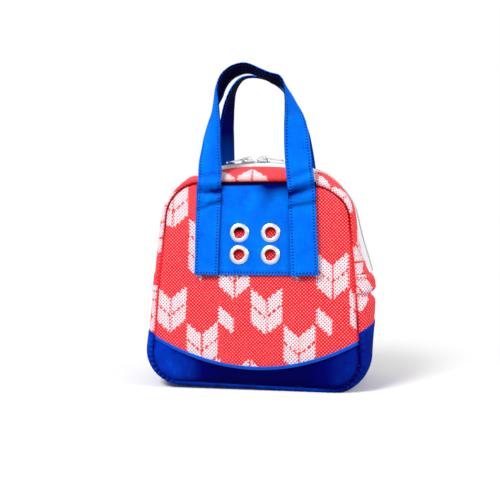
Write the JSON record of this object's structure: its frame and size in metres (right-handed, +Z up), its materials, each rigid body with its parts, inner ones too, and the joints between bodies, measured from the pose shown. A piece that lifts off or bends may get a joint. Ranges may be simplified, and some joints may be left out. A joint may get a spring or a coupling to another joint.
{
  "type": "mini handbag",
  "caption": "small structured handbag with a domed body, woven panels on a canvas base, a two-way zip over the top, a patch with eyelets and two strap handles",
  "frame": {"origin": "middle of the flat underside of the base", "axes": "+Z up, the front with the eyelets faces -Y, +X is the right side as seen from the front"},
  "size_m": [0.2316, 0.103, 0.3387],
  "materials": {
    "woven_cloth": "woven, matt",
    "handle_canvas": "canvas, matt",
    "base_canvas": "canvas, matt",
    "lining": "plain, matt",
    "zip_tape": "woven tape",
    "zip_coil": "satin nylon",
    "silver_metal": "bright plated"
  },
  "bodies": {
    "bag": {"front_panel": "woven_cloth", "back_panel": "woven_cloth", "front_top_gusset": "woven_cloth", "back_top_gusset": "woven_cloth", "side_gusset_left": "woven_cloth", "side_gusset_right": "woven_cloth", "zip_end_tab_left": "woven_cloth", "zip_end_tab_right": "woven_cloth", "front_base_band": "base_canvas", "back_base_band": "base_canvas", "base_gusset": "base_canvas", "front_lining": "lining", "back_lining": "lining", "gusset_lining": "lining", "front_patch": "handle_canvas", "back_patch": "handle_canvas", "front_strap_left": "handle_canvas", "front_strap_right": "handle_canvas", "back_strap_left": "handle_canvas", "back_strap_right": "handle_canvas", "front_zip_tape": "zip_tape", "back_zip_tape": "zip_tape", "front_zip_coil": "zip_coil", "back_zip_coil": "zip_coil", "eyelet_1": "silver_metal", "eyelet_2": "silver_metal", "eyelet_3": "silver_metal", "eyelet_4": "silver_metal", "eyelet_washer_1": "silver_metal", "eyelet_washer_2": "silver_metal", "eyelet_washer_3": "silver_metal", "eyelet_washer_4": "silver_metal"},
    "front_handle": {"front_handle": "handle_canvas"},
    "back_handle": {"back_handle": "handle_canvas"},
    "slider_left": {"slider_left": "silver_metal"},
    "slider_right": {"slider_right": "silver_metal"},
    "pull_left": {"pull_left": "silver_metal"},
    "pull_right": {"pull_right": "silver_metal"}
  },
  "joints": [
    {"name": "front_handle_swing", "type": "hinge", "parent": "bag", "child": "front_handle", "pos_m": [0, -0.03864, 0.20875], "axis": [1, 0, 0], "range_deg": [-2, 165]},
    {"name": "back_handle_swing", "type": "hinge", "parent": "bag", "child": "back_handle", "pos_m": [0, 0.03774, 0.20868], "axis": [-1, 0, 0], "range_deg": [-2, 170]},
    {"name": "slider_left_travel", "type": "hinge", "parent": "bag", "child": "slider_left", "pos_m": [0, 0, -0.0137], "axis": [0, -1, 0], "range_deg": [0, 8.6]},
    {"name": "slider_right_travel", "type": "hinge", "parent": "bag", "child": "slider_right", "pos_m": [0, 0, -0.0137], "axis": [0, 1, 0], "range_deg": [0, 10.4]},
    {"name": "pull_left_flip", "type": "hinge", "parent": "slider_left", "child": "pull_left", "pos_m": [-0.01272, 0, 0.24048], "axis": [0, 1, 0], "range_deg": [0, 100]},
    {"name": "pull_right_flip", "type": "hinge", "parent": "slider_right", "child": "pull_right", "pos_m": [0.00458, 0, 0.24075], "axis": [0, -1, 0], "range_deg": [0, 100]}
  ]
}
